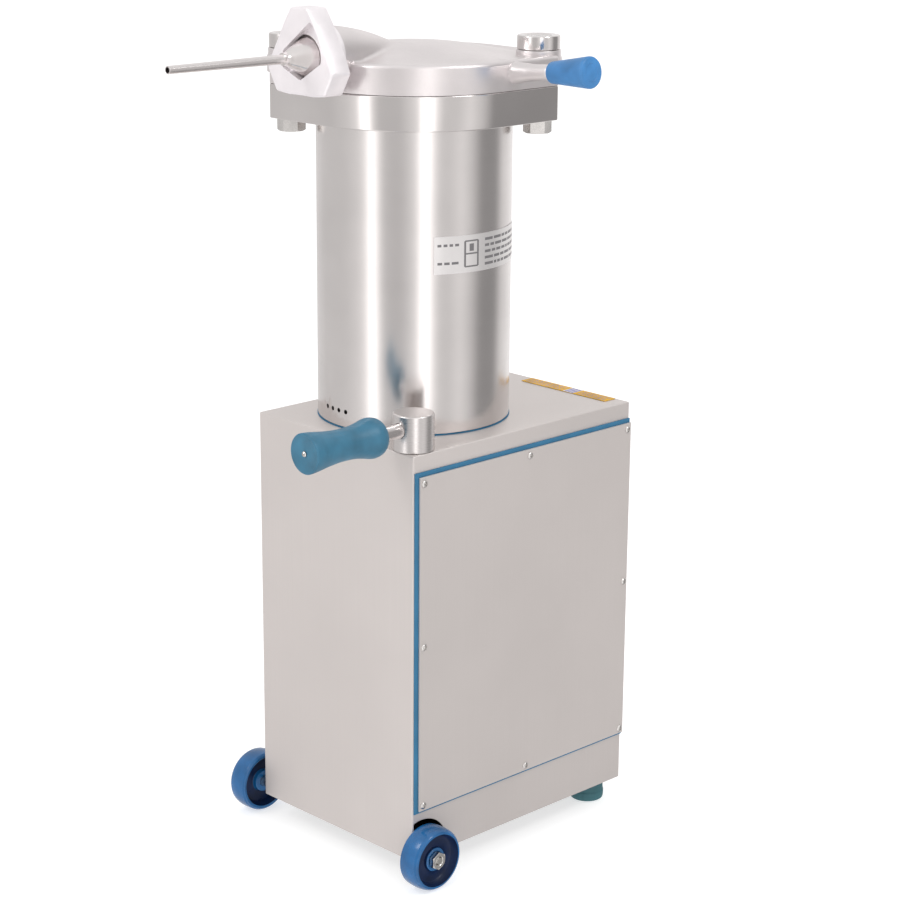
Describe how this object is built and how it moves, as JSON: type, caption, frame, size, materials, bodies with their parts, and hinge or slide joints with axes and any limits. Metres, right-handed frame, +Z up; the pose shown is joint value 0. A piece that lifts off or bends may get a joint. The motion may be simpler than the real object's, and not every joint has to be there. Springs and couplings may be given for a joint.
{
  "type": "hydraulic sausage stuffer",
  "caption": "Upright hydraulic sausage stuffer: sheet-steel cabinet on wheels and feet, polished barrel with a swing lid, side outlet duct with wing nut and nozzle, and a control lever.",
  "frame": {"origin": "middle of the bottom of the bounding box, on the floor under the machine", "axes": "+Z up, -Y the operator's side that the nozzle points to, +X the service panel's side"},
  "size_m": [0.4344, 0.623, 1.056],
  "materials": {
    "cabinet_sheet": "satin brushed stainless sheet",
    "polished_steel": "polished stainless steel",
    "cast_metal": "satin machined casting",
    "blue_grip": "moulded blue plastic",
    "teal_grip": "moulded blue plastic",
    "blue_wheel": "moulded blue nylon",
    "blue_gasket": "blue rubber gasket",
    "foot_rubber": "matt blue-green rubber",
    "fastener_steel": "machined steel",
    "machine_steel": "plain machined steel",
    "painted_steel": "painted steel",
    "black_plastic": "moulded black plastic",
    "label_film": "printed film without lettering"
  },
  "bodies": {
    "machine_frame": {"cabinet_shell": "cabinet_sheet", "service_panel": "cabinet_sheet", "barrel": "polished_steel", "flange": "polished_steel", "hinge_post": "polished_steel", "latch_post": "polished_steel", "panel_gasket": "blue_gasket", "barrel_gasket": "blue_gasket", "lid_seal": "blue_gasket", "foot_left": "foot_rubber", "foot_right": "foot_rubber", "panel_screw_front_low": "fastener_steel", "panel_screw_front_middle": "fastener_steel", "panel_screw_front_top": "fastener_steel", "panel_screw_rear_low": "fastener_steel", "panel_screw_rear_middle": "fastener_steel", "panel_screw_rear_top": "fastener_steel", "panel_screw_centre_low": "fastener_steel", "panel_screw_centre_top": "fastener_steel", "hinge_post_nut": "fastener_steel", "latch_post_nut": "fastener_steel", "wheel_nut_left": "fastener_steel", "wheel_nut_right": "fastener_steel", "axle": "fastener_steel", "foot_bolt_left": "fastener_steel", "foot_bolt_right": "fastener_steel", "base_plate": "machine_steel", "ram_mount_plate": "machine_steel", "ram_head": "machine_steel", "spindle_bush": "machine_steel", "pump": "machine_steel", "pressure_pipe": "machine_steel", "ram_pipe": "machine_steel", "oil_tank": "painted_steel", "tank_lid": "painted_steel", "motor": "painted_steel", "ram_cylinder": "painted_steel", "valve_block": "painted_steel", "electrical_box": "painted_steel", "cable_gland": "black_plastic", "barrel_label": "label_film", "top_label": "label_film"},
    "lid": {"lid": "cast_metal", "lid_grip": "blue_grip"},
    "nozzle": {"nozzle": "polished_steel"},
    "outlet_nut": {"outlet_nut": "cast_metal"},
    "piston": {"piston": "cast_metal", "piston_seal": "blue_gasket", "piston_nut": "fastener_steel", "piston_rod": "polished_steel"},
    "lever": {"lever_hub": "polished_steel", "lever_rod": "polished_steel", "lever_grip": "teal_grip", "lever_end_screw": "fastener_steel", "lever_spindle": "machine_steel"},
    "valve_spool": {"valve_spool": "machine_steel"},
    "wheel_left": {"wheel_left": "blue_wheel"},
    "wheel_right": {"wheel_right": "blue_wheel"},
    "motor_shaft": {"motor_shaft": "machine_steel"}
  },
  "joints": [
    {"name": "lid_swing", "type": "hinge", "parent": "machine_frame", "child": "lid", "pos_m": [-0.14718, -0.0459, 0.977], "axis": [0, 0, -1], "range_deg": [0, 110]},
    {"name": "nozzle_draw", "type": "slide", "parent": "lid", "child": "nozzle", "axis": [0, -1, 0], "range_m": [0, 0.014]},
    {"name": "nut_turn", "type": "hinge", "parent": "nozzle", "child": "outlet_nut", "pos_m": [-0.04218, -0.1059, 0.999], "axis": [0, -1, 0], "range_deg": [0, 1080]},
    {"name": "piston_rise", "type": "slide", "parent": "machine_frame", "child": "piston", "axis": [0, 0, 1], "range_m": [0, 0.35]},
    {"name": "lever_turn", "type": "hinge", "parent": "machine_frame", "child": "lever", "pos_m": [0.08552, -0.0613, 0.57], "axis": [0, 0, 1], "range_deg": [-35, 35]},
    {"name": "spool_slide", "type": "slide", "parent": "machine_frame", "child": "valve_spool", "axis": [1, 0, 0], "range_m": [-0.0112, 0.0112]},
    {"name": "wheel_left_spin", "type": "hinge", "parent": "machine_frame", "child": "wheel_left", "pos_m": [-0.20088, -0.0695, 0.04], "axis": [1, 0, 0], "continuous": true},
    {"name": "wheel_right_spin", "type": "hinge", "parent": "machine_frame", "child": "wheel_right", "pos_m": [0.12712, -0.0695, 0.04], "axis": [1, 0, 0], "continuous": true},
    {"name": "motor_spin", "type": "hinge", "parent": "machine_frame", "child": "motor_shaft", "pos_m": [-0.02988, 0.2195, 0.3], "axis": [0, 0, 1], "continuous": true}
  ],
  "couplings": [
    {"joint": "spool_slide", "follows": "lever_turn", "m_per_rad": -0.0173},
    {"joint": "nozzle_draw", "follows": "nut_turn", "m_per_rad": 0.00074272}
  ]
}
